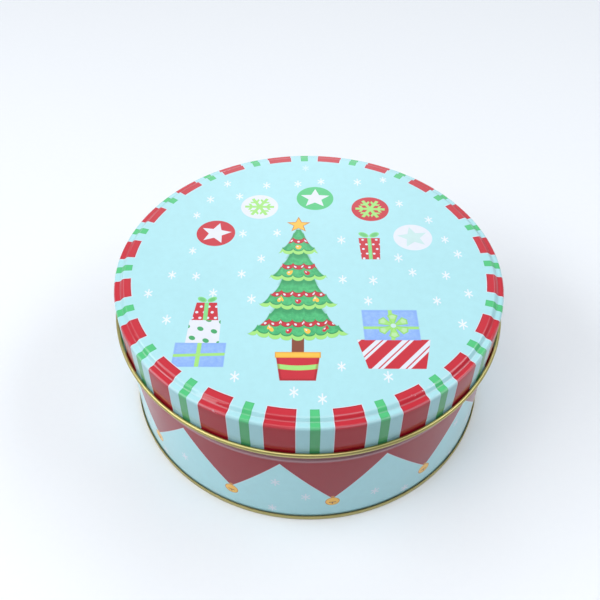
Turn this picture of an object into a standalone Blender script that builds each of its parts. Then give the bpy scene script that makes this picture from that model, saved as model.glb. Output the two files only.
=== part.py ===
"""A round cookie tin of printed tinplate: a drawn lid that slips over a three-piece body.

Metres, +Z up. The origin is the centre of the circle that the tin stands on.
Each piece is one sheet, turned about Z: its profile is the sheet's middle line.
"""

import math

import bpy
from mathutils import Vector

SHEET = 0.0003
HALF_SHEET = SHEET / 2
GAP = 0.0003
TURN_STEPS = 60
BEND_STEPS = 2
CURL_STEPS = 10
MERGE_DISTANCE = 0.00001

# Lid, by its outer faces
LID_TOP_HEIGHT = 0.0780
LID_SKIRT_RADIUS = 0.0931
LID_FOOT_HEIGHT = 0.0570
PANEL_RADIUS = 0.0885
PANEL_RISE = 0.0016
PANEL_SLOPE_WIDTH = 0.0016
PANEL_BEND = 0.0007
LID_CORNER_BEND = 0.0011
LID_CURL_RADIUS = 0.0011
LID_CURL_LAST_ANGLE = 120

# Body wall, by its outer face
WALL_RADIUS = 0.0912
NECK_INSET = 0.0008
SHOULDER_HEIGHT = 0.0494
SHOULDER_RISE = 0.0018
SHOULDER_BEND = 0.0030
RIM_CURL_RADIUS = 0.0012
RIM_CURL_LAST_ANGLE = 240

# Base end, a disc with a channel round it that grips the wall
SEAM_RADIUS = 0.0920
SEAM_HEIGHT = 0.0029
SEAM_BEND = 0.00045
SEAM_LIP_BEND = 0.00035
SEAM_LIP_TURN = 60
BASE_PANEL_HEIGHT = 0.0032
BASE_PANEL_BEND = 0.0008
BASE_STEP_RADIUS = 0.0800
BASE_STEP_RISE = 0.0006
BASE_STEP_WIDTH = 0.0010


def clear_scene():
    for item in list(bpy.data.objects):
        bpy.data.objects.remove(item, do_unlink=True)


def rounded(corners):
    """The outline through corners (radius, height, bend), each bend being a round of that radius."""
    outline = [Vector(corners[0][:2])]
    for before, corner, after in zip(corners, corners[1:], corners[2:]):
        middle = Vector(corner[:2])
        back = (Vector(before[:2]) - middle).normalized()
        onward = (Vector(after[:2]) - middle).normalized()
        half_angle = back.angle(onward) / 2
        centre = middle + (back + onward).normalized() * corner[2] / math.sin(half_angle)
        first_spoke = middle + back * corner[2] / math.tan(half_angle) - centre
        last_spoke = middle + onward * corner[2] / math.tan(half_angle) - centre
        for step in range(BEND_STEPS + 1):
            direction = first_spoke.slerp(last_spoke, step / BEND_STEPS).normalized()
            outline.append(centre + corner[2] * direction)
    outline.append(Vector(corners[-1][:2]))
    return outline


def arc(centre, radius, start_angle, end_angle, steps):
    """Points round a circle, both ends counted, its angles in degrees from the outward direction."""
    angles = [start_angle + (end_angle - start_angle) * step / steps for step in range(steps + 1)]
    spokes = [(math.cos(math.radians(angle)), math.sin(math.radians(angle))) for angle in angles]
    return [Vector(centre) + radius * Vector(spoke) for spoke in spokes]


def lid_profile():
    """From the middle of the panel over the step and the ledge, down the skirt and round the curl."""
    top = LID_TOP_HEIGHT - LID_FOOT_HEIGHT - HALF_SHEET
    ledge = top - PANEL_RISE
    skirt = LID_SKIRT_RADIUS - HALF_SHEET
    curl = LID_CURL_RADIUS - HALF_SHEET
    face = rounded([
        (0, top, 0),
        (PANEL_RADIUS, top, PANEL_BEND),
        (PANEL_RADIUS + PANEL_SLOPE_WIDTH, ledge, PANEL_BEND),
        (skirt, ledge, LID_CORNER_BEND),
        (skirt, LID_CURL_RADIUS * 2, 0),
    ])
    curl_centre = (skirt + curl, LID_CURL_RADIUS)
    return face + arc(curl_centre, curl, -180, LID_CURL_LAST_ANGLE, CURL_STEPS)


def wall_profile():
    """From the tip of the rim's curl over its top, down the neck and the wall to the cut edge."""
    neck = WALL_RADIUS - NECK_INSET - HALF_SHEET
    wall = WALL_RADIUS - HALF_SHEET
    curl = RIM_CURL_RADIUS - HALF_SHEET
    rim_top = LID_TOP_HEIGHT - PANEL_RISE - SHEET - GAP
    curl_centre = (neck + curl, rim_top - RIM_CURL_RADIUS)
    rim = arc(curl_centre, curl, RIM_CURL_LAST_ANGLE - 360, 180, CURL_STEPS)
    side = rounded([
        (neck, rim_top - RIM_CURL_RADIUS * 2, 0),
        (neck, SHOULDER_HEIGHT + SHOULDER_RISE, SHOULDER_BEND),
        (wall, SHOULDER_HEIGHT, SHOULDER_BEND),
        (wall, SHEET + GAP, 0),
    ])
    return rim + side


def base_profile():
    """From the middle of the base out to the countersink, round the channel and in at its lip."""
    panel = BASE_PANEL_HEIGHT + HALF_SHEET
    wall_inside = WALL_RADIUS - SHEET
    countersink = wall_inside - GAP - HALF_SHEET
    outside = SEAM_RADIUS - HALF_SHEET
    lip_centre = (outside - SEAM_LIP_BEND, SEAM_HEIGHT - HALF_SHEET - SEAM_LIP_BEND)
    channel = rounded([
        (0, panel + BASE_STEP_RISE, 0),
        (BASE_STEP_RADIUS, panel + BASE_STEP_RISE, BASE_PANEL_BEND),
        (BASE_STEP_RADIUS + BASE_STEP_WIDTH, panel, BASE_PANEL_BEND),
        (countersink, panel, BASE_PANEL_BEND),
        (countersink, HALF_SHEET, SEAM_BEND),
        (outside, HALF_SHEET, SEAM_BEND),
        (outside, lip_centre[1], 0),
    ])
    return channel[:-1] + arc(lip_centre, SEAM_LIP_BEND, 0, SEAM_LIP_TURN, BEND_STEPS)


def enamel(name, colour, roughness, metallic):
    material = bpy.data.materials.new(name)
    material.use_nodes = True
    shader = material.node_tree.nodes["Principled BSDF"]
    shader.inputs["Base Color"].default_value = (*colour, 1)
    shader.inputs["Roughness"].default_value = roughness
    shader.inputs["Metallic"].default_value = metallic
    return material


def turned_sheet(name, profile, height, material, collection):
    """One piece of sheet: its profile turned about Z, then given its thickness."""
    mesh = bpy.data.meshes.new(name)
    points = [(radius, 0, z) for radius, z in profile]
    edges = [(index, index + 1) for index in range(len(points) - 1)]
    mesh.from_pydata(points, edges, [])
    mesh.materials.append(material)
    piece = bpy.data.objects.new(name, mesh)
    piece.location.z = height
    collection.objects.link(piece)

    turn = piece.modifiers.new("turn", "SCREW")
    turn.axis = "Z"
    turn.angle = math.tau
    turn.steps = TURN_STEPS
    turn.render_steps = TURN_STEPS
    turn.use_smooth_shade = True
    turn.use_merge_vertices = True
    turn.merge_threshold = MERGE_DISTANCE

    sheet = piece.modifiers.new("sheet", "SOLIDIFY")
    sheet.thickness = SHEET
    sheet.offset = 0
    sheet.use_even_offset = True
    return piece


def build():
    clear_scene()
    tin = bpy.data.collections.new("cookie_tin")
    bpy.context.scene.collection.children.link(tin)
    gold = enamel("gold_lacquer", (0.46, 0.38, 0.16), 0.28, 1.0)
    red = enamel("red_print", (0.62, 0.05, 0.07), 0.25, 0.0)
    pale_blue = enamel("pale_blue_print", (0.50, 0.84, 0.90), 0.25, 0.0)
    turned_sheet("base_end", base_profile(), 0, gold, tin)
    turned_sheet("body_wall", wall_profile(), 0, red, tin)
    # The lid's own origin is on the line that it lifts along, level with its lower edge
    turned_sheet("lid", lid_profile(), LID_FOOT_HEIGHT, pale_blue, tin)


build()
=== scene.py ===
import math

import bpy
import numpy as np
from mathutils import Matrix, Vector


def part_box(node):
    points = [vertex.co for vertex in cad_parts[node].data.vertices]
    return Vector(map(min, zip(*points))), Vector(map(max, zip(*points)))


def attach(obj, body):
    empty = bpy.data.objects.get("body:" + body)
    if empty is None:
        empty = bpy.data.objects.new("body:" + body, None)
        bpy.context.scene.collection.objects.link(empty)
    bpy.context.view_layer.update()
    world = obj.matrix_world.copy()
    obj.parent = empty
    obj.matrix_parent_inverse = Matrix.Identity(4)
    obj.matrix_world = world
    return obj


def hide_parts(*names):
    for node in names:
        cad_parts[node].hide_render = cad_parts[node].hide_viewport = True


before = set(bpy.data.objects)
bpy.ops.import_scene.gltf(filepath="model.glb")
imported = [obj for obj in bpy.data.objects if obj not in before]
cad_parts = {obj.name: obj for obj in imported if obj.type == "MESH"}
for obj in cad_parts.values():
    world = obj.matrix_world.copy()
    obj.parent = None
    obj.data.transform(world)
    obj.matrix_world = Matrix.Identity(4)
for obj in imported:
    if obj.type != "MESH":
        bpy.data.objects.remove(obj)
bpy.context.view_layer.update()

millimetre = 0.001
perMetre = 1000.0

# Sheet metal. Every piece is a mid-line with rounded corners, given its thickness and turned
# round the tin's axis. Shapes are in metres.
sheetMetal = {
    "thickness": 0.0003,
    "turnSteps": 384,
    "arcPoints": 7,
    "runStep": 0.0035,
    "curlStep": math.radians(12),
}
halfSheet = sheetMetal["thickness"] / 2


# A line through the corners, each (radius, height, bend). A corner is an arc of its bend radius
# that touches the straight runs on both sides of it, and the runs are cut into even steps.
def bentLine(corners):
    points = [np.array([corners[0][:2]])]
    here = np.array(corners[0][:2])
    for i in range(1, len(corners)):
        corner = np.array(corners[i][:2])
        runIn = (corner - here) / np.linalg.norm(corner - here)
        stop, arc = corner, None
        if i < len(corners) - 1 and corners[i][2] > 0:
            runOut = np.array(corners[i + 1][:2]) - corner
            runOut = runOut / np.linalg.norm(runOut)
            side = runOut - runIn * np.dot(runIn, runOut)
            side = side / np.linalg.norm(side)
            turn = math.acos(np.clip(np.dot(runIn, runOut), -1, 1))
            stop = corner - runIn * corners[i][2] * math.tan(turn / 2)
            t = np.linspace(0, turn, sheetMetal["arcPoints"])[1:, None]
            arc = stop + corners[i][2] * (runIn * np.sin(t) + side * (1 - np.cos(t)))
        steps = max(1, int(np.linalg.norm(stop - here) / sheetMetal["runStep"]))
        points.append(here + (stop - here) * np.linspace(0, 1, steps + 1)[1:, None])
        if arc is not None:
            points.append(arc)
        here = points[-1][-1]
    return np.concatenate(points)


# Points of a round curl: centre plus radius times (cos, sin) of the angles from first to last.
def curlLine(centre, radius, first, last):
    steps = int(abs(last - first) / sheetMetal["curlStep"]) + 1
    t = np.linspace(first, last, steps + 1)
    return np.stack([centre[0] + radius * np.cos(t), centre[1] + radius * np.sin(t)], axis=1)


# The loop round a sheet's section: the mid-line moved half the thickness along its normal, out
# on one face and back on the other. Where it starts on the axis, the normal there is upright.
def sheetLoop(midLine):
    slope = np.gradient(midLine, axis=0)
    slope = slope / np.linalg.norm(slope, axis=1)[:, None]
    normal = np.stack([slope[:, 1], -slope[:, 0]], axis=1)
    if midLine[0, 0] < halfSheet:
        normal[0] = (0, np.sign(normal[0, 1]))
    outer, inner = midLine - normal * halfSheet, midLine + normal * halfSheet
    loop = np.concatenate([outer, inner[::-1]])
    side = np.repeat([0, 1], len(midLine))
    following = np.roll(loop, -1, axis=0)
    area = np.sum(loop[:, 0] * following[:, 1] - following[:, 0] * loop[:, 1])
    return (loop[::-1], side[::-1]) if area < 0 else (loop, side)


# A turned sheet. The loop's point (r, z) goes to (r sin a, -r cos a, z) for every angle a, so the
# surface is a grid of angle by loop place. Where the loop starts on the axis, each face closes in
# one pole. faceSlot(side, place) gives the material slot, 0 or 1, and shape(points, angle) may
# move the points a little at the end.
def turnedSheet(name, midLine, angles, materials, faceSlot, shape):
    loop, side = sheetLoop(midLine)
    rim = side != np.roll(side, -1)
    closed = midLine[0, 0] > halfSheet
    if closed:
        ring, links = loop, np.arange(len(loop))
        nextLink = np.roll(links, -1)
    else:
        poles, ring = loop[[0, -1]], loop[1:-1]
        rim, side = rim[1:-1], side[1:-1]
        links = np.arange(len(ring) - 1)
        nextLink = links + 1
    rows, columns = len(angles), len(ring)
    a = np.repeat(angles, columns)
    r = np.tile(ring[:, 0], rows)
    z = np.tile(ring[:, 1], rows)
    points = np.stack([r * np.sin(a), -r * np.cos(a), z], axis=1)
    row = np.arange(rows)[:, None] * columns
    nextRow = np.roll(np.arange(rows), -1)[:, None] * columns
    quads = np.stack([row + links, nextRow + links, nextRow + nextLink, row + nextLink], axis=2)
    faces = quads.reshape(-1, 4).tolist()
    slots = np.tile(faceSlot(side[links], (ring[links] + ring[nextLink]) / 2), rows)
    smooth = np.tile(~rim[links], rows)
    if not closed:
        last = rows * columns
        points = np.concatenate([points, [[0, 0, poles[0, 1]], [0, 0, poles[1, 1]]]])
        a = np.concatenate([a, [0, 0]])
        start = np.stack([np.full(rows, last), nextRow[:, 0], row[:, 0]], axis=1)
        end = np.stack([np.full(rows, last + 1), row[:, 0], nextRow[:, 0]], axis=1)
        end[:, 1:] += columns - 1
        faces += start.tolist() + end.tolist()
        slots = np.concatenate([slots, np.repeat(faceSlot(side[[0, -1]], ring[[0, -1]]), rows)])
        smooth = np.concatenate([smooth, np.ones(2 * rows, bool)])
    mesh = bpy.data.meshes.new(name)
    mesh.from_pydata(shape(points, a).tolist(), [], faces)
    mesh.polygons.foreach_set("material_index", slots.astype(np.int32))
    mesh.polygons.foreach_set("use_smooth", smooth)
    for material in materials:
        mesh.materials.append(material)
    mesh.update()
    piece = bpy.data.objects.new(name, mesh)
    bpy.context.scene.collection.objects.link(piece)
    print(name, len(points), "points")
    return piece


class Wire:  # a socket that shader maths can be written on
    def __init__(self, finish, socket):
        self.finish = finish
        self.socket = socket

    def __add__(self, other):
        return self.finish.maths("ADD", self, other)

    def __radd__(self, other):
        return self.finish.maths("ADD", other, self)

    def __sub__(self, other):
        return self.finish.maths("SUBTRACT", self, other)

    def __rsub__(self, other):
        return self.finish.maths("SUBTRACT", other, self)

    def __mul__(self, other):
        return self.finish.maths("MULTIPLY", self, other)

    def __rmul__(self, other):
        return self.finish.maths("MULTIPLY", other, self)

    def __truediv__(self, other):
        return self.finish.maths("DIVIDE", self, other)

    def __rtruediv__(self, other):
        return self.finish.maths("DIVIDE", other, self)

    def __abs__(self):
        return self.finish.maths("ABSOLUTE", self)


class Finish:  # the nodes of one material, or of the world
    def __init__(self, owner):
        owner.use_nodes = True
        self.owner = owner
        self.tree = owner.node_tree
        self.tree.nodes.clear()

    # Any node: its settings go in first, then the values or links of its sockets.
    def node(self, kind, settings, inputs, output=0):
        made = self.tree.nodes.new(kind)
        for key, value in settings.items():
            if key == "stops":
                elements = made.color_ramp.elements
                for i, (place, colour) in enumerate(value):
                    element = elements[i] if i < 2 else elements.new(place)
                    element.position = place
                    element.color = colour
            elif key == "interpolation":
                made.color_ramp.interpolation = value
            else:
                setattr(made, key, value)
        for key, value in inputs.items():
            if isinstance(value, Wire):
                self.tree.links.new(value.socket, made.inputs[key])
            else:
                made.inputs[key].default_value = value
        return Wire(self, made.outputs[output]) if made.outputs else made

    def maths(self, operation, *values):
        return self.node("ShaderNodeMath", {"operation": operation}, dict(enumerate(values)))

    def least(self, first, *others):
        for other in others:
            first = self.maths("MINIMUM", first, other)
        return first

    def most(self, first, *others):
        for other in others:
            first = self.maths("MAXIMUM", first, other)
        return first

    # 0 at every whole pitch and half a pitch midway between, on both sides.
    def fold(self, value, pitch):
        return self.maths("PINGPONG", value, pitch / 2)

    def floor(self, value):
        return self.maths("FLOOR", value)

    def length(self, a, b):
        return self.maths("SQRT", a * a + b * b)

    def bearing(self, a, b):
        return self.maths("ARCTAN2", a, b)

    # The place in one of so many equal arms round a middle: the distance from the middle, then
    # the distances along the arm and off its centre line.
    def armPlace(self, across, away, arms):
        reach = self.length(across, away)
        turn = self.fold(self.bearing(across, away), 2 * math.pi / arms)
        return reach, reach * self.maths("COSINE", turn), reach * self.maths("SINE", turn)

    # The depth inside a band: half its width on the middle line, and 0 at both edges.
    def band(self, value, middle, half):
        return half - abs(value - middle)

    # A mask from a depth inside a shape in millimetres: 1 inside, 0 outside, soft at the edge.
    def ink(self, depth, soft=0.16):
        return self.node("ShaderNodeMath", {"operation": "MULTIPLY_ADD", "use_clamp": True},
                         {0: depth, 1: 1 / soft, 2: 0.5})

    # A mask of the strip just inside a shape's edge.
    def hem(self, depth, width, soft):
        return self.ink(self.least(depth, width - depth), soft)

    def clamp(self, value):
        return self.node("ShaderNodeClamp", {}, {0: value})

    def mix(self, mask, under, over):
        return self.node("ShaderNodeMix", {"data_type": "RGBA"}, {0: mask, 6: under, 7: over}, 2)

    # A shape filled with a colour, from its depth.
    def paint(self, under, depth, colour, soft=0.16):
        return self.mix(self.ink(depth, soft), under, colour)

    def scaled(self, colour, factor):
        return self.node("ShaderNodeVectorMath", {"operation": "SCALE"},
                         {0: colour, "Scale": factor})

    def dot(self, vector, other):
        return self.node("ShaderNodeVectorMath", {"operation": "DOT_PRODUCT"},
                         {0: vector, 1: other}, "Value")

    def vector(self, a, b, c):
        return self.node("ShaderNodeCombineXYZ", {}, {0: a, 1: b, 2: c})

    def parts(self, vector):
        split = self.node("ShaderNodeSeparateXYZ", {}, {0: vector})
        return [Wire(self, socket) for socket in split.socket.node.outputs]

    def objectPlace(self):
        return self.node("ShaderNodeTexCoord", {}, {}, "Object")

    def noise(self, place, scale, detail=2.0, roughness=0.5):
        return self.node("ShaderNodeTexNoise", {},
                         {"Vector": place, "Scale": scale, "Detail": detail,
                          "Roughness": roughness})

    def close(self, shader, kind="ShaderNodeOutputMaterial"):
        self.node(kind, {}, {"Surface": shader})
        return self.owner


def tint(red, green, blue):  # a display colour as the shader's linear one
    values = np.array([red, green, blue]) / 255
    linear = np.where(values > 0.04045, ((values + 0.055) / 1.055) ** 2.4, values / 12.92)
    return (*linear.tolist(), 1.0)


inks = {
    "sky": tint(170, 218, 225),
    "skyWash": tint(164, 214, 222),
    "red": tint(192, 38, 53),
    # a darker red for the lid's steep skirt: painted shade
    "skirtShadeRed": tint(168, 24, 40),
    # a darker red for the upright wall's pennants: painted shade
    "wallShadeRed": tint(144, 20, 36),
    "deepRed": tint(140, 22, 34),
    "green": tint(80, 190, 122),
    # a darker green for the lid's steep skirt: painted shade
    "skirtShadeGreen": tint(82, 172, 114),
    "deepGreen": tint(42, 140, 86),
    "needles": tint(52, 158, 98),
    "leaf": tint(66, 160, 100),
    "ribbon": tint(128, 208, 128),
    "lime": tint(156, 216, 118),
    "deepLime": tint(120, 190, 84),
    "blue": tint(148, 184, 232),
    "deepBlue": tint(128, 164, 228),
    "white": tint(217, 221, 232),
    "snow": tint(226, 230, 240),
    "mint": tint(190, 218, 218),
    "gold": tint(242, 186, 70),
    "deepGold": tint(196, 122, 42),
    "brown": tint(128, 66, 44),
    "tin": tint(196, 198, 196),
}


# Gold lacquer, inside the tin and on its rolled edges.
lacquer = {
    "colour": tint(186, 176, 117),
    "deepColour": tint(173, 162, 100),
    "roughness": 0.28,
    "cloudScale": 45.0,
    "cloudRough": 0.12,
    "grainScale": 900.0,
    "grainStretch": 0.06,
    "grainRough": 0.06,
    "grainDepth": 0.000012,
    "grainStrength": 0.5,
    "coat": 0.12,
    "coatRoughness": 0.2,
}


def goldLacquer():
    f = Finish(bpy.data.materials.new("goldLacquer"))
    place = f.objectPlace()
    x, y, z = f.parts(place)
    cloud = f.noise(place, lacquer["cloudScale"], 3.0)
    grain = f.noise(f.vector(x, y * lacquer["grainStretch"], z), lacquer["grainScale"])
    colour = f.mix(cloud, lacquer["colour"], lacquer["deepColour"])
    roughness = (cloud * lacquer["cloudRough"] + grain * lacquer["grainRough"]
                 + lacquer["roughness"])
    normal = f.node("ShaderNodeBump", {},
                    {"Strength": lacquer["grainStrength"], "Distance": lacquer["grainDepth"],
                     "Height": grain})
    return f.close(f.node("ShaderNodeBsdfPrincipled", {},
                          {"Base Color": colour, "Roughness": roughness, "Metallic": 1.0,
                           "Normal": normal, "Coat Weight": lacquer["coat"],
                           "Coat Roughness": lacquer["coatRoughness"]}))


# Printed tinplate.
varnish = {
    "brushScale": 260.0,
    "brushShade": 0.10,
    "cloudScale": 24.0,
    "cloudShade": 0.06,
    "shadeLow": 0.92,
    "rubScale": 70.0,
    "roughness": 0.26,
    "rubRough": 0.16,
    "coat": 0.76,
    "rubCoat": 0.22,
    "coatRoughness": 0.045,
    "specular": 0.12,
    "peelScale": 420.0,
    "peelDepth": 0.000010,
    "peelStrength": 0.15,
}


# Brush strokes in the colour, faint orange peel and small rubbed places in the gloss.
def printedTin(f, place, colour, wearMask, gloss, bare=None):
    v = varnish
    brush = f.noise(place, v["brushScale"], 4.0, 0.65)
    cloud = f.noise(place, v["cloudScale"], 3.0)
    shade = brush * v["brushShade"] + cloud * v["cloudShade"] + v["shadeLow"]
    colour = f.mix(wearMask, f.scaled(colour, shade), inks["white"])
    peel = f.noise(place, v["peelScale"], 1.0)
    rub = f.noise(place, v["rubScale"], 5.0, 0.7)
    normal = f.node("ShaderNodeBump", {},
                    {"Strength": v["peelStrength"], "Distance": v["peelDepth"], "Height": peel})
    inputs = {"Base Color": colour,
              "Roughness": rub * v["rubRough"] + v["roughness"],
              "Coat Weight": f.clamp(v["coat"] - rub * v["rubCoat"] - wearMask) * gloss,
              "Coat Roughness": v["coatRoughness"],
              "Specular IOR Level": v["specular"],
              "Normal": normal}
    if bare is not None:
        inputs["Metallic"] = bare
    return f.close(f.node("ShaderNodeBsdfPrincipled", {}, inputs))


# A six-armed flake of thin straight arms.
def flakeDepth(f, across, away, arm, halfWidth):
    along, off = f.armPlace(across, away, 6)[1:]
    return f.least(halfWidth - off, arm - along)


# A star of so many points: one edge, from tip to notch, folded round the middle.
def starDepth(f, across, away, points, tip, notch):
    along, off = f.armPlace(across, away, points)[1:]
    rise = notch * math.sin(math.pi / points)
    run = tip - notch * math.cos(math.pi / points)
    return ((tip - along) * rise - off * run) / math.hypot(rise, run)


# Cells in staggered rows, each with one point moved about inside it by a random amount: the
# point's two places, and one more random number for the cell.
def scattered(f, across, away, pitch, rowPitch, wander):
    row = f.floor(away / rowPitch)
    shift = f.fold(row, 2.0) * 0.5
    column = f.floor(across / pitch + shift)
    luck = f.node("ShaderNodeTexWhiteNoise", {"noise_dimensions": "3D"},
                  {"Vector": f.vector(column + 0.5, row + 0.5, 7.5)}, "Color")
    luckA, luckB, luckC = f.parts(luck)
    middleX = (column - shift + 0.5) * pitch + (luckA - 0.5) * wander
    middleY = (row + 0.5) * rowPitch + (luckB - 0.5) * wander
    return middleX, middleY, luckC


# Chips of lost ink: along an edge, in some patches of it, where a fine noise is high.
def chipMask(f, edge, fine, fineLevel, patch, patchLevel):
    return (f.ink((fine - fineLevel) * 24.0, 1.0) * f.ink(edge, 0.5)
            * f.ink((patch - patchLevel) * 20.0, 1.0))


# Pale blue with a faint wash in it, under all of the print.
def paintSky(f, place):
    return f.mix(f.noise(place, 9.0), inks["sky"], inks["skyWash"])


# The lid's print. Prints are in millimetres and degrees. Bends and edges are (radius or height,
# half-width), and the boxes to keep clear of flakes are (x, y, half-width, half-height).
lidPrint = {
    "stripeStart": 84.75,
    "stripeCount": 20,
    "redTurn": -7.67,
    "redHalf": 4.07,
    "greenHalf": 1.30,
    "keyline": 0.26,
    "steepHeight": 75.2,
    # every colour darker on the steep skirt: painted shade
    "steepSoft": 1.2,
    "skirtShadeDarker": 0.20,
    "drawnDuller": 0.40,
    "slopeBends": ((88.25, 0.22), (90.0, 0.20)),
    "cornerBend": ((92.75, 0.25), (76.0, 0.35)),
    # pale lines over the bends: painted highlight
    "bendHighlight": 0.26,
    "proudEdges": ((88.3, 0.45), (92.6, 0.45)),
    "chipsAbove": 75.0,
    "chipStrength": 0.6,
    "badgeCentre": (2.1, -4.3),
    "badgeRing": 56.1,
    "badgePitch": 30.9,
    "badgeTurn": 1.5,
    "badgeRadius": 9.7,
    "flakePitch": 16.8,
    "flakeRow": 14.4,
    "flakeWander": 6.4,
    "flakeArm": 1.80,
    "flakeLuck": 0.4,
    "flakeHalf": 0.27,
    "flakeSqueeze": 0.70,
    "flakesWithin": 81.2,
    "flakesLost": 0.18,
    "keepClear": ((-47.8, -43.0, 15.4, 23.5), (37.2, -46.0, 19.0, 21.0),
                  (30.3, 14.6, 8.6, 13.2), (-5.0, -60.0, 13.4, 14.0)),
}

# Each parcel is (middle, foot, half-width, height, lean, flare), and a bow on one is (middle,
# foot, size), but the flat bow on the right is (x, y).
parcels = {
    "leftLow": (-47.9, -62.8, 11.1, 13.4, 0.03, 0.0),
    "leftMiddle": (-47.0, -49.4, 7.4, 13.5, 0.02, -0.03),
    "leftTop": (-46.9, -35.9, 6.0, 10.9, 0.0, -0.12),
    "leftBow": (-46.9, -25.4, 3.7),
    "rightLow": (37.4, -63.5, 12.3, 16.4, -0.018, 0.238),
    "rightTop": (36.7, -47.3, 12.3, 18.0, -0.02, 0.01),
    "rightBow": (37.6, -38.8),
    "small": (30.3, 4.6, 4.5, 15.6, 0.0, 0.055),
    "smallBow": (30.3, 19.9, 4.3),
    "wrapPeriod": 8.4,
    "wrapSlant": 0.92,
    "wrapNarrow": 0.72,
    "petalLength": 7.4,
    "petalSlope": 0.36,
    "knot": 1.25,
}

# The pot, its rim and the trunk are (half-width, foot, top), the pot's stripe is (height,
# half-width) and the star is (height, tip, notch).
fir = {
    "middle": -5.0,
    "pot": (7.6, -70.0, -55.4),
    "potFlare": 0.14,
    "potStripe": (-63.2, 1.3),
    "potRim": (9.9, -57.6, -54.4),
    "trunk": (2.7, -58.0, -42.0),
    "top": 27.0,
    "tiers": 4,
    "tierHeight": 18.6,
    "tierStep": 3.2,
    "tierSpread": 8.6,
    "scallopPitch": 5.2,
    "scallopDrop": 2.1,
    "sag": 0.0075,
    "limeHem": 2.5,
    "garlandDrop": 9.4,
    "garlandSag": 0.004,
    "garlandHalf": 1.35,
    "beadPitch": 3.4,
    "beadRadius": 0.62,
    "baublePitch": 8.2,
    "baubleDrop": 5.3,
    "baubleRadius": 1.45,
    "star": (30.2, 6.3, 2.7),
}


# A box that leans and flares: how far across it a place is, how far up, and how deep inside.
def parcel(f, x, y, box):
    middle, foot, halfWidth, height, lean, flare = box
    rise = y - foot
    side = x - middle - rise * lean
    return side, rise, f.least(rise * flare + halfWidth - abs(side), rise, height - rise)


# Dots in staggered rows.
def dots(f, across, away, pitch, radius, squeeze=1.0):
    row = f.floor(away / pitch)
    column = across / pitch + f.fold(row, 2.0) * 0.5
    a = (column - f.floor(column) - 0.5) * pitch
    b = (away / pitch - row - 0.5) * pitch
    return radius - f.length(a, b * squeeze)


# A blue parcel with a darker edge and a ribbon crossed over it. upright and level are the two
# ribbons as (place, half-width), and the level one may tilt.
def paintBlueParcel(f, colour, x, y, dabs, box, edge, upright, level, tilt=0.0):
    side, rise, depth = parcel(f, x, y, box)
    colour = f.paint(colour, depth, f.mix(dabs, inks["blue"], inks["deepBlue"]))
    colour = f.mix(f.hem(depth, *edge) * 0.6, colour, inks["deepBlue"])
    cross = f.most(f.band(side, *upright), f.band(rise - side * tilt, *level))
    return f.paint(colour, f.least(cross, depth), inks["lime"])


# A red parcel with white dots, a ribbon up its middle and two round loops on its lid.
def paintTiedParcel(f, colour, x, y, box, dotShift, dotPitch, dotRadius, ribbonHalf, bow, fold):
    side, rise, depth = parcel(f, x, y, box)
    colour = f.paint(colour, depth, inks["red"])
    spots = dots(f, side + dotShift[0], rise + dotShift[1], dotPitch, dotRadius)
    colour = f.paint(colour, f.least(spots, depth), inks["white"])
    middle, foot, size = bow
    across = abs(x - middle)
    slant = (y - foot) - across * 0.35
    loops = size * 0.58 - f.length(across - size * 0.62, (slant - size * 0.42) * 1.35)
    colour = f.paint(colour, f.most(f.least(ribbonHalf - abs(side), depth), loops),
                     inks["ribbon"])
    return f.mix(f.ink(loops - fold) * 0.5, colour, inks["leaf"])


# A bow of six wedge petals round a knot, seen from above.
def paintRosette(f, colour, x, y):
    reach, along, off = f.armPlace(x - parcels["rightBow"][0], y - parcels["rightBow"][1], 6)
    petal = f.least(along * parcels["petalSlope"] + 0.2 - off,
                    parcels["petalLength"] - along - off * 0.5)
    colour = f.paint(colour, petal, inks["lime"])
    colour = f.mix(f.hem(petal, 0.5, 0.5) * 0.5, colour, inks["deepLime"])
    gleam = f.ink(f.least(petal - 0.8, along - 4.2), 0.8) * 0.3
    colour = f.mix(gleam, colour, inks["white"])
    return f.paint(colour, parcels["knot"] - reach, inks["mint"])


def paintParcels(f, colour, x, y, dabs):
    # the left pile, from the bottom
    colour = paintBlueParcel(f, colour, x, y, dabs, parcels["leftLow"], (0.9, 0.8),
                             (-0.4, 0.95), (6.6, 0.8), 0.04)
    side, rise, depth = parcel(f, x, y, parcels["leftMiddle"])
    colour = f.paint(colour, depth, inks["white"])
    spots = dots(f, side + 1.6, rise + 1.4 + side * 0.25, 6.2, 1.45, 1.15)
    colour = f.paint(colour, f.least(spots, depth), inks["leaf"])
    colour = paintTiedParcel(f, colour, x, y, parcels["leftTop"], (0.6, 0.4), 3.5, 0.72, 0.95,
                             parcels["leftBow"], 0.75)
    # the right pile, whose lower parcel has slanting stripes, one broad and one narrow in turn
    side, rise, depth = parcel(f, x, y, parcels["rightLow"])
    colour = f.paint(colour, depth, inks["red"])
    period = parcels["wrapPeriod"]
    slant = (side - rise * parcels["wrapSlant"]) * parcels["wrapNarrow"] / period
    across = (slant - f.floor(slant)) * period
    stripes = f.most(f.band(across, 1.4, 0.95), f.band(across, 3.5, 0.60))
    colour = f.paint(colour, f.least(stripes, depth), inks["white"])
    colour = paintBlueParcel(f, colour, x, y, dabs, parcels["rightTop"], (1.1, 0.9),
                             (0.3, 0.9), (7.2, 0.8))
    colour = paintRosette(f, colour, x, y)
    # the small one by itself
    return paintTiedParcel(f, colour, x, y, parcels["small"], (1.6, 1.0), 3.4, 0.66, 0.9,
                           parcels["smallBow"], 0.8)


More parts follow.
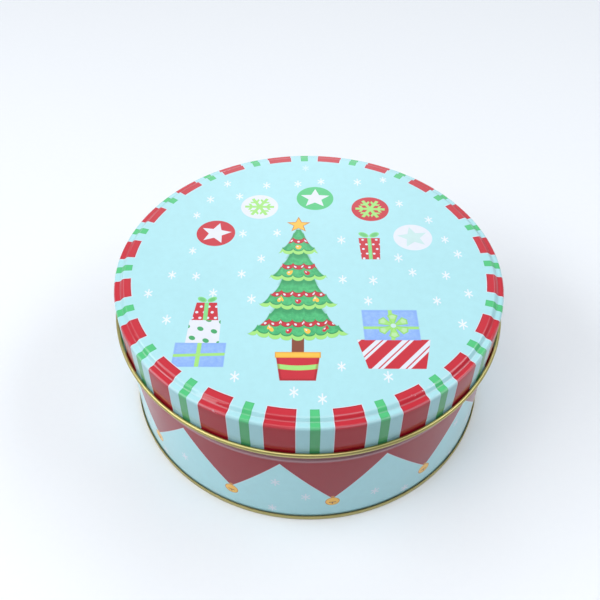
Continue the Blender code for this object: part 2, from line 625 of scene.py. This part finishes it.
def paintPot(f, colour, side, y):
    width = abs(side)
    half, foot, top = fir["trunk"]
    colour = f.paint(colour, f.least(half - width, y - foot, top - y), inks["brown"])
    half, foot, top = fir["pot"]
    pot = f.least(half + (y - foot) * fir["potFlare"] - width, y - foot, top - y)
    colour = f.paint(colour, pot, inks["red"])
    stripe = f.band(y - side * side * 0.012, *fir["potStripe"])
    colour = f.paint(colour, f.least(pot, stripe), inks["lime"])
    colour = f.mix(f.hem(pot, 0.9, 0.6) * 0.55, colour, inks["deepRed"])
    half, foot, top = fir["potRim"]
    rim = f.least(half - width, y - foot, top - y)
    colour = f.paint(colour, rim, inks["gold"])
    return f.mix(f.hem(rim, 0.5, 0.4) * 0.6, colour, inks["deepGold"])


# A fir of four skirts. A tier number and a place within the tier come from the height, after the
# scallops and the sag are taken off it, so every tier is drawn by the same few lines.
def paintTree(f, colour, x, y, dabs):
    side = x - fir["middle"]
    width = abs(side)
    colour = paintPot(f, colour, side, y)
    height = fir["tierHeight"]
    near = f.fold(side, fir["scallopPitch"]) / (fir["scallopPitch"] / 2)
    scallop = f.maths("SQRT", f.most(1.0 - near * near, 0.02))
    fall = fir["top"] - y - scallop * fir["scallopDrop"] + side * side * fir["sag"] + 1.6
    level = fall / height
    tier = f.most(f.least(f.floor(level), fir["tiers"] - 1.0), 0.0)
    part = level - tier
    spread = (tier + fir["tierSpread"]) * part * (0.62 + part * 0.38)
    reach = tier * fir["tierStep"] + 1.0 + spread
    lift = (1.0 - part) * height  # how far above the tier's lower edge
    depth = f.least((reach - width) * 0.9, lift, level * height)
    colour = f.paint(colour, depth, f.mix(dabs, inks["green"], inks["needles"]))
    # shade under the tier above and at the sides, then the pale lower edge
    under = f.ink(f.least(depth, 2.6 - part * height), 2.4)
    colour = f.mix(under * f.ink(tier - 0.5) * 0.8, colour, inks["deepGreen"])
    colour = f.mix(f.hem(depth, 1.1, 0.9) * 0.6, colour, inks["deepGreen"])
    colour = f.paint(colour, f.least(depth, fir["limeHem"] - lift), inks["lime"])
    colour = f.paint(colour, f.least(depth, f.band(lift, 2.6, 0.32)), inks["deepGreen"], 0.2)
    # garland with beads, then baubles, gold and red in turn
    rope = lift - fir["garlandDrop"] + side * side * fir["garlandSag"]
    colour = f.paint(colour, f.least(depth, fir["garlandHalf"] - abs(rope)), inks["red"])
    ropeEdge = f.ink(f.least(depth, f.band(abs(rope), 1.3, 0.26)), 0.2)
    colour = f.mix(ropeEdge * 0.8, colour, inks["deepRed"])
    bead = fir["beadRadius"] - f.length(f.fold(side + tier * 1.5, fir["beadPitch"]), rope)
    colour = f.paint(colour, f.least(depth, bead), inks["white"])
    hung = side + tier * (fir["baublePitch"] / 2)
    drop = lift - fir["baubleDrop"]
    ball = fir["baubleRadius"] - f.length(f.fold(hung, fir["baublePitch"]), drop)
    odd = f.ink(f.fold(f.floor(hung / fir["baublePitch"] + 0.5), 2.0) - 0.5)
    ballMask = f.ink(f.least(depth - 0.4, ball))
    colour = f.mix(ballMask, colour, f.mix(odd, inks["gold"], inks["red"]))
    glint = 0.45 - f.length(f.fold(hung + 0.45, fir["baublePitch"]), drop - 0.5)
    colour = f.mix(f.ink(glint) * ballMask, colour, inks["white"])
    middle, tip, notch = fir["star"]
    star = starDepth(f, side, y - middle, 5, tip, notch)
    colour = f.paint(colour, star, inks["deepGold"])
    return f.paint(colour, star - 0.42, inks["gold"])


# Scattered flakes. The middle of each keeps clear of every picture, so that none is cut.
def paintFlakes(f, colour, x, y):
    p = lidPrint
    middleX, middleY, luck = scattered(f, x, y, p["flakePitch"], p["flakeRow"], p["flakeWander"])
    clear = p["flakesWithin"] - f.length(middleX, middleY)
    besideTree = abs(middleX - fir["middle"]) - (8.0 + (fir["top"] - middleY) * 0.265)
    clear = f.least(clear, f.most(besideTree, middleY - 40.5, -51.5 - middleY))
    for boxX, boxY, halfX, halfY in p["keepClear"]:
        clear = f.least(clear, f.most(abs(middleX - boxX) - halfX, abs(middleY - boxY) - halfY))
    clear = f.least(clear, -1.0 * badgePlace(f, middleX, middleY)[0] - 3.3)
    clear = f.least(clear, (luck - p["flakesLost"]) * 60.0)
    flake = flakeDepth(f, x - middleX, (y - middleY) * p["flakeSqueeze"],
                       luck * p["flakeLuck"] + p["flakeArm"], p["flakeHalf"])
    return f.paint(colour, f.least(flake, clear), inks["snow"], 0.2)


# The badges stand on a ring of their own: the bearing gives the nearest badge, and the place is
# then measured from that badge, turned with it.
def badgePlace(f, x, y):
    across, away = x - lidPrint["badgeCentre"][0], y - lidPrint["badgeCentre"][1]
    pitch = math.radians(lidPrint["badgePitch"])
    turn = f.bearing(across, away) - math.radians(lidPrint["badgeTurn"])
    badge = f.most(f.least(f.floor(turn / pitch + 0.5), 2.0), -2.0)
    turn = turn - badge * pitch
    reach = f.length(across, away)
    side = reach * f.maths("SINE", turn)
    rise = reach * f.maths("COSINE", turn) - lidPrint["badgeRing"]
    return lidPrint["badgeRadius"] - f.length(side, rise), side, rise, badge


# Five badges: stars on the first, third and fifth, and barbed flakes on the others.
def paintBadges(f, colour, x, y):
    depth, side, rise, badge = badgePlace(f, x, y)
    place = (badge + 2.5) / 5.0
    white, red, green, lime, mint = (inks[k] for k in ("white", "red", "green", "lime", "mint"))
    ground = f.node("ShaderNodeValToRGB", {"interpolation": "CONSTANT", "stops": [
        (0.0, red), (0.2, white), (0.4, green), (0.6, red), (0.8, white)]}, {0: place})
    emblem = f.node("ShaderNodeValToRGB", {"interpolation": "CONSTANT", "stops": [
        (0.0, white), (0.2, lime), (0.4, white), (0.6, lime), (0.8, mint)]}, {0: place})
    colour = f.paint(colour, depth, ground)
    star = starDepth(f, side, rise, 5, 7.9, 3.5)
    reach, along, off = f.armPlace(side, rise, 6)
    spoke = f.least(0.85 - off, 7.6 - along)
    slant = (along - 3.9) * math.sin(math.pi / 3) - off * 0.5
    barb = f.least(0.62 - abs(slant), 2.5 - off)
    flake = f.most(spoke, barb, 1.7 - reach)
    odd = f.ink(f.fold(badge, 2.0) - 0.5)
    return f.paint(colour, star + (flake - star) * odd, emblem)


# Broad red and narrow green stripes in turn, from the panel's edge down the skirt. On the steep
# sides, where steep is 1, both are darker inks and every colour is darkened: painted shade.
def paintStripes(f, colour, radius, bearing, steep):
    pitch = 360 / lidPrint["stripeCount"]
    perDegree = radius * math.radians(1)
    begin = radius - lidPrint["stripeStart"]
    turned = bearing - lidPrint["redTurn"]
    red = f.least((lidPrint["redHalf"] - f.fold(turned, pitch)) * perDegree, begin)
    green = (lidPrint["greenHalf"] - f.fold(turned - pitch / 2, pitch)) * perDegree
    green = f.least(green, begin)
    colour = f.paint(colour, red + lidPrint["keyline"], inks["white"])
    colour = f.paint(colour, red, f.mix(steep, inks["red"], inks["skirtShadeRed"]))
    colour = f.mix(f.ink(f.band(red, 0.3, 0.16)) * 0.55, colour, inks["deepRed"])
    colour = f.paint(colour, green, f.mix(steep, inks["green"], inks["skirtShadeGreen"]))
    colour = f.mix(f.ink(f.band(green, 0.2, 0.12)) * 0.35, colour, inks["deepGreen"])
    # painted shade: every colour darker on the steep skirt
    return f.scaled(colour, 1.0 - steep * lidPrint["skirtShadeDarker"])


def lidFinish():
    f = Finish(bpy.data.materials.new("lidPrint"))
    place = f.objectPlace()
    x, y, z = f.parts(f.scaled(place, perMetre))
    radius = f.length(x, y)
    bearing = f.bearing(x, 0.0 - y) * math.degrees(1)
    steep = f.ink(lidPrint["steepHeight"] - z, lidPrint["steepSoft"])
    colour = paintSky(f, place)
    colour = paintFlakes(f, colour, x, y)
    colour = paintBadges(f, colour, x, y)
    dabs = f.clamp(f.noise(place, 520.0, 4.0, 0.7) * 3.0 - 1.0)
    colour = paintTree(f, colour, x, y, dabs)
    colour = paintParcels(f, colour, x, y, dabs)
    colour = paintStripes(f, colour, radius, bearing, steep)
    # painted highlight: pale lines over the three bends, in patches
    around, upright = lidPrint["cornerBend"]
    corner = f.least(f.band(radius, *around), f.band(z, *upright))
    bends = f.most(*(f.band(radius, *bend) for bend in lidPrint["slopeBends"]), corner)
    highlightPatches = f.clamp(f.noise(place, 26.0, 3.0) * 2.4 - 0.7)
    colour = f.mix(f.ink(bends, 0.4) * highlightPatches * lidPrint["bendHighlight"], colour, inks["white"])
    # chips along the two proud edges
    proud = f.most(*(f.band(radius, *edge) for edge in lidPrint["proudEdges"]))
    edge = f.least(proud, z - lidPrint["chipsAbove"])
    fine = f.noise(f.vector(bearing * 1.1, radius * 1.6, z), 1.0, 1.0)
    chips = chipMask(f, edge, fine, 0.64, f.noise(place, 30.0), 0.61) * lidPrint["chipStrength"]
    return printedTin(f, place, colour, chips, 1.0 - steep * lidPrint["drawnDuller"])


wallPrint = {
    "gloss": 0.85,
    "pennants": 12,
    "tipTurn": 7.0,
    "tipHeight": 17.4,
    "valleyHeight": 46.0,
    "bellRadius": 3.4,
    "bellDrop": 2.6,
    "flakeColumns": 18,
    "flakeRow": 12.4,
    "flakeWander": 5.5,
    "flakeArm": 2.3,
    "flakeHalf": 0.33,
    "flakeSqueeze": 0.80,
    "flakeStrength": 0.9,
    "shoulder": (49.4, 1.0),
    # a pale band over the shoulder: painted highlight
    "shoulderHighlight": 0.30,
    "chipEdge": (49.8, 0.6),
    "chipStrength": 0.5,
    "seamHalf": 1.6,
    "marginHalf": 2.3,
}


def wallFinish():
    f = Finish(bpy.data.materials.new("wallPrint"))
    p = wallPrint
    place = f.objectPlace()
    x, y, z = f.parts(f.scaled(place, perMetre))
    bearing = f.bearing(x, 0.0 - y) * math.degrees(1)
    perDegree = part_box("body_wall")[1].x * perMetre * math.radians(1)
    pitch = 360 / p["pennants"]
    colour = paintSky(f, place)

    def fromTip(angle):  # the distance round the wall from the nearest pennant's tip
        return f.fold(angle - p["tipTurn"], pitch) * perDegree

    def pennantDepth(angle, height):
        rise = p["valleyHeight"] - p["tipHeight"]
        run = pitch / 2 * perDegree
        above = height - p["tipHeight"] - fromTip(angle) * (rise / run)
        return above * (run / math.hypot(rise, run))

    # flakes, in the sky only and clear of the bells
    along = bearing * perDegree
    middleX, middleY = scattered(f, along, z, 360 * perDegree / p["flakeColumns"],
                                 p["flakeRow"], p["flakeWander"])[:2]
    fromBell = f.length(fromTip(middleX / perDegree), middleY - p["tipHeight"] + 3.0)
    clear = f.least(-5.2 - pennantDepth(middleX / perDegree, middleY), middleY - 4.2,
                    fromBell - 8.0)
    flake = flakeDepth(f, along - middleX, (z - middleY) * p["flakeSqueeze"],
                       p["flakeArm"], p["flakeHalf"])
    colour = f.mix(f.ink(f.least(flake, clear), 0.2) * p["flakeStrength"], colour,
                   inks["white"])
    # pennants with a pale keyline and a dark line inside it
    depth = pennantDepth(bearing, z)
    colour = f.mix(f.ink(depth + 0.28) * 0.7, colour, inks["white"])
    # the pennants' red is darker than the lid's red: painted shade on the upright wall
    colour = f.paint(colour, depth, inks["wallShadeRed"])
    colour = f.mix(f.ink(f.band(depth, 0.32, 0.16)) * 0.5, colour, inks["deepRed"])
    # painted highlight: a pale band over the shoulder
    shoulder = f.ink(f.band(z, *p["shoulder"]), 1.3)
    colour = f.mix(shoulder * p["shoulderHighlight"], colour, inks["white"])
    # a round bell on each tip, with a neck and a slot like a T
    across = fromTip(bearing)
    drop = z - (p["tipHeight"] - p["bellDrop"])
    bell = p["bellRadius"] - f.length(across, drop)
    neck = f.least(0.8 - across, f.band(drop, 3.4, 1.3))
    colour = f.paint(colour, f.most(bell, neck), inks["deepGold"])
    colour = f.paint(colour, bell - 0.35, inks["gold"])
    slot = f.most(f.least(f.band(drop, -0.7, 0.26), 1.7 - across),
                  f.least(0.26 - across, f.band(drop, -1.3, 0.9)))
    colour = f.paint(colour, slot, inks["brown"])
    # bare strip along the welded side seam, then chips along the shoulder
    fromSeam = (180.0 - abs(bearing)) * perDegree
    bare = f.ink(p["marginHalf"] - fromSeam, 0.2)
    colour = f.mix(bare, colour, inks["tin"])
    chips = chipMask(f, f.band(z, *p["chipEdge"]), f.noise(place, 620.0, 0.0), 0.66,
                     f.noise(place, 38.0), 0.56) * p["chipStrength"]
    return printedTin(f, place, colour, chips, p["gloss"], bare)


goldMaterial = goldLacquer()
lidMaterial = lidFinish()
wallMaterial = wallFinish()
print("finishes made")


# The lid, from the middle of its panel to the tip of its curl.
lidLow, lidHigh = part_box("lid")
lidShape = {
    "skirtRadius": 0.0931,
    "curlRadius": 0.0011,
    "curlEnd": math.radians(120),
    "panelRadius": 0.0885,
    "panelRise": 0.0016,
    "panelSlope": 0.0016,
    "panelBend": 0.0014,
    "cornerBend": 0.0012,
    "taper": 0.00025,
    "taperHeight": 0.0640,
    "taperBend": 0.02,
    "footBend": 0.004,
    "footRise": 0.0012,
    "hollow": 0.00009,
}


def lidMidLine():
    s = lidShape
    top = lidHigh.z - halfSheet
    ledge = top - s["panelRise"]
    skirt = s["skirtRadius"] - halfSheet
    curlCentre = (lidHigh.x - s["curlRadius"], lidLow.z + s["curlRadius"])
    run = bentLine([(0.0, top, 0),
                    (s["panelRadius"], top, s["panelBend"]),
                    (s["panelRadius"] + s["panelSlope"], ledge, s["panelBend"]),
                    (skirt, ledge, s["cornerBend"]),
                    (skirt, s["taperHeight"], s["taperBend"]),
                    (skirt - s["taper"], curlCentre[1] + s["footRise"], s["footBend"]),
                    (skirt, curlCentre[1], 0)])
    curl = curlLine(curlCentre, s["curlRadius"] - halfSheet, -math.pi, s["curlEnd"])
    return np.concatenate([run, curl[1:]])


# The panel hangs a hair below its edge in soft shallow waves that fade out before the step.
def lidUneven(points, angle):
    radius = np.hypot(points[:, 0], points[:, 1])
    inside = np.clip(1 - (radius / (lidShape["panelRadius"] * 0.97)) ** 4, 0, 1)
    wave = 0.55 + 0.25 * np.sin(2 * angle + 0.6) * radius / lidShape["panelRadius"]
    wave = wave + 0.2 * np.cos(radius * 52)
    onPanel = points[:, 2] > lidHigh.z - millimetre
    points[:, 2] -= np.where(onPanel, inside * wave * lidShape["hollow"], 0)
    return points


turnAngles = np.linspace(0, 2 * math.pi, sheetMetal["turnSteps"], endpoint=False)
lid = turnedSheet("lidSheet", lidMidLine(), turnAngles, [lidMaterial, goldMaterial],
                  lambda side, place: side, lidUneven)
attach(lid, "lid")
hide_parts("lid")


# The wall, from the tip of its rim curl to its cut edge in the base seam.
wallLow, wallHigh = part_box("body_wall")
wallShape = {
    "radius": 0.0912,
    "neckInset": 0.0008,
    "shoulderHeight": 0.0494,
    "shoulderRise": 0.0007,
    "shoulderBend": 0.0008,
    "printAbove": 0.0016,
    "rimRadius": 0.0012,
    "rimStart": math.radians(-120),
    "seamHeight": 0.00018,
    "seamFoot": 0.0056,
    "seamTop": 0.0720,
    "seamEase": 0.0006,
}


def wallMidLine():
    s = wallShape
    side = s["radius"] - halfSheet
    neck = side - s["neckInset"]
    curlMid = s["rimRadius"] - halfSheet
    curlCentre = (neck + curlMid, wallHigh.z - s["rimRadius"])
    curl = curlLine(curlCentre, curlMid, s["rimStart"], math.pi)
    run = bentLine([(neck, curlCentre[1], 0),
                    (neck, s["shoulderHeight"] + s["shoulderRise"], s["shoulderBend"]),
                    (side, s["shoulderHeight"], s["shoulderBend"]),
                    (side, wallLow.z, 0)])
    return np.concatenate([curl, run[1:]])


# The welded side seam at the back: a low flat ridge, eased in at its foot and its top.
def wallSeam(points, angle):
    s = wallShape
    radius = np.hypot(points[:, 0], points[:, 1])
    fromBack = np.abs(np.pi - np.mod(angle, 2 * np.pi)) * radius * perMetre
    across = np.clip((wallPrint["seamHalf"] - fromBack) / 0.3 + 0.5, 0, 1)
    up = (np.clip((points[:, 2] - s["seamFoot"]) / s["seamEase"], 0, 1)
          * np.clip((s["seamTop"] - points[:, 2]) / s["seamEase"], 0, 1))
    points[:, :2] *= (1 + across * up * s["seamHeight"] / radius)[:, None]
    return points


# extra columns on both sides of the seam, and gold above the printed part of the neck
seamTurn = wallPrint["seamHalf"] * millimetre / wallShape["radius"]
besideSeam = np.linspace(-1, 1, 5) * 0.0025
wallAngles = np.union1d(turnAngles, math.pi + np.concatenate([besideSeam - seamTurn,
                                                              besideSeam + seamTurn]))
goldFrom = wallShape["shoulderHeight"] + wallShape["shoulderRise"] + wallShape["printAbove"]
wall = turnedSheet("wallSheet", wallMidLine(), wallAngles, [wallMaterial, goldMaterial],
                   lambda side, place: np.where(place[:, 1] > goldFrom, 1, side), wallSeam)
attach(wall, "tin_body")
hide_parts("body_wall")


# The base, from its middle out and round the channel that grips the wall.
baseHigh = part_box("base_end")[1]
baseShape = {
    "gap": 0.0003,
    "seamHeight": 0.0029,
    "seamBend": 0.00045,
    "lipBend": 0.00035,
    "lipTurn": math.radians(60),
    "panelHeight": 0.0032,
    "panelBend": 0.0008,
    "stepRadius": 0.0800,
    "stepRise": 0.0006,
    "stepWidth": 0.0010,
    "hollow": 0.00012,
}


def baseMidLine():
    s = baseShape
    panel = s["panelHeight"] + halfSheet
    inner = wallShape["radius"] - sheetMetal["thickness"] - s["gap"] - halfSheet
    outer = baseHigh.x - halfSheet
    lipCentre = (outer - s["lipBend"], s["seamHeight"] - halfSheet - s["lipBend"])
    run = bentLine([(0.0, panel + s["stepRise"], 0),
                    (s["stepRadius"], panel + s["stepRise"], s["panelBend"]),
                    (s["stepRadius"] + s["stepWidth"], panel, s["panelBend"]),
                    (inner, panel, s["panelBend"]),
                    (inner, halfSheet, s["seamBend"]),
                    (outer, halfSheet, s["seamBend"]),
                    (outer, lipCentre[1], 0)])
    lip = curlLine(lipCentre, s["lipBend"], 0.0, s["lipTurn"])
    return np.concatenate([run, lip[1:]])


# The base rises a hair towards its middle in soft lobes, and is level again at its step.
def baseUneven(points, angle):
    radius = np.hypot(points[:, 0], points[:, 1])
    inside = np.clip(1 - (radius / (baseShape["stepRadius"] * 0.98)) ** 2, 0, 1)
    points[:, 2] += inside * (1 + 0.3 * np.cos(3 * angle)) * baseShape["hollow"]
    return points


base = turnedSheet("baseSheet", baseMidLine(), turnAngles, [goldMaterial],
                   lambda side, place: side * 0, baseUneven)
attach(base, "tin_body")
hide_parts("base_end")
print("pieces made")


# Floor, light and camera. A lamp is (name, place, size, power, colour), aimed at the origin.
stage = {
    "floorSize": 12.0,
    "fadeStart": 1.0,
    "fadeLength": 1.4,
    "floorColour": tint(235, 238, 242),
    "floorGrain": tint(233, 236, 241),
    "lamps": [
        ("topLight", (-0.20, -0.35, 1.35), (1.2, 0.8), 7.2, (1.0, 1.0, 1.0)),
        ("leftLight", (-1.20, -0.25, 1.08), (1.5, 0.55), 13.2, (1.0, 1.0, 1.0)),
        ("rightLight", (0.98, 0.10, 1.08), (1.1, 0.40), 6.8, (0.97, 0.985, 1.0)),
    ],
    "brightSide": (-0.40, 0.60, 0.69),
    "roomLow": 0.20,
    "roomSpan": 0.25,
    "behind": (0.0, 0.839, 0.545),
    "behindGlow": 2.1,
    "behindFocus": 30.0,
    "roomColour": (0.93, 0.965, 1.0, 1.0),
    "backdrop": 0.82,
}


# Pale paper that fades into the backdrop's own light a metre or more from the tin.
def floorFinish():
    f = Finish(bpy.data.materials.new("paperFloor"))
    place = f.objectPlace()
    grain = f.noise(place, 300.0)
    x, y = f.parts(place)[:2]
    away = f.clamp((f.length(x, y) - stage["fadeStart"]) / stage["fadeLength"])
    paper = f.node("ShaderNodeBsdfPrincipled", {},
                   {"Base Color": f.mix(grain, stage["floorColour"], stage["floorGrain"]),
                    "Roughness": grain * 0.1 + 0.6, "Specular IOR Level": 0.2})
    haze = f.node("ShaderNodeEmission", {},
                  {"Color": stage["roomColour"], "Strength": stage["backdrop"]})
    return f.close(f.node("ShaderNodeMixShader", {}, {0: away, 1: paper, 2: haze}))


floorMesh = bpy.data.meshes.new("floorSheet")
half = stage["floorSize"]
floorMesh.from_pydata([(-half, -half, 0), (half, -half, 0), (half, half, 0), (-half, half, 0)],
                      [], [(0, 1, 2, 3)])
floorMesh.materials.append(floorFinish())
floorSheet = bpy.data.objects.new("floorSheet", floorMesh)
bpy.context.scene.collection.objects.link(floorSheet)


# A matrix whose columns are the three axes, moved to a place.
def standing(right, up, backwards, place):
    placed = Matrix(np.stack([right, up, backwards], axis=1).tolist()).to_4x4()
    placed.translation = place
    return placed


for name, place, size, power, colour in stage["lamps"]:
    lampData = bpy.data.lights.new(name, "AREA")
    lampData.shape = "RECTANGLE"
    lampData.size, lampData.size_y = size
    lampData.energy = power
    lampData.color = colour
    lamp = bpy.data.objects.new(name, lampData)
    backwards = np.array(place) / np.linalg.norm(place)
    right = np.cross((0, 0, 1), backwards)
    right = right / np.linalg.norm(right)
    lamp.matrix_world = standing(right, np.cross(backwards, right), backwards, place)
    lamp.visible_camera = False
    bpy.context.scene.collection.objects.link(lamp)


# The room: pale all round, brightest above, behind and to the left, and dimmest low in front.
# The camera sees a plain backdrop in its place.
def roomFinish():
    f = Finish(bpy.data.worlds.new("studio"))
    direction = f.node("ShaderNodeTexCoord", {}, {}, "Generated")
    share = f.clamp(f.dot(direction, stage["brightSide"]) * 0.5 + 0.5)
    facing = f.clamp(f.dot(direction, stage["behind"]))
    lobe = f.maths("POWER", facing, stage["behindFocus"]) * stage["behindGlow"]
    strength = share * share * stage["roomSpan"] + lobe + stage["roomLow"]
    glow = f.node("ShaderNodeBackground", {}, {0: stage["roomColour"], 1: strength})
    backdrop = f.node("ShaderNodeBackground", {}, {0: stage["roomColour"], 1: stage["backdrop"]})
    seen = f.node("ShaderNodeLightPath", {}, {}, "Is Camera Ray")
    return f.close(f.node("ShaderNodeMixShader", {}, {0: seen, 1: glow, 2: backdrop}),
                   "ShaderNodeOutputWorld")


bpy.context.scene.world = roomFinish()
bpy.context.scene.view_settings.view_transform = "Standard"

view = {
    "place": (-0.004165, -0.267911, 0.331431),
    "downwards": math.radians(45.993),
    "roll": math.radians(0.224),
    "lens": 45.85,
    "sensor": 36.0,
    "nearest": 0.01,
}
cameraData = bpy.data.cameras.new("camera")
cameraData.lens = view["lens"]
cameraData.sensor_width = view["sensor"]
cameraData.clip_start = view["nearest"]
camera = bpy.data.objects.new("camera", cameraData)
dip, roll = view["downwards"], view["roll"]
right, up = np.array([1, 0, 0]), np.array([0, math.sin(dip), math.cos(dip)])
camera.matrix_world = standing(right * math.cos(roll) + up * math.sin(roll),
                               up * math.cos(roll) - right * math.sin(roll),
                               np.array([0, -math.cos(dip), math.sin(dip)]), view["place"])
bpy.context.scene.collection.objects.link(camera)
bpy.context.scene.camera = camera
print("stage made")
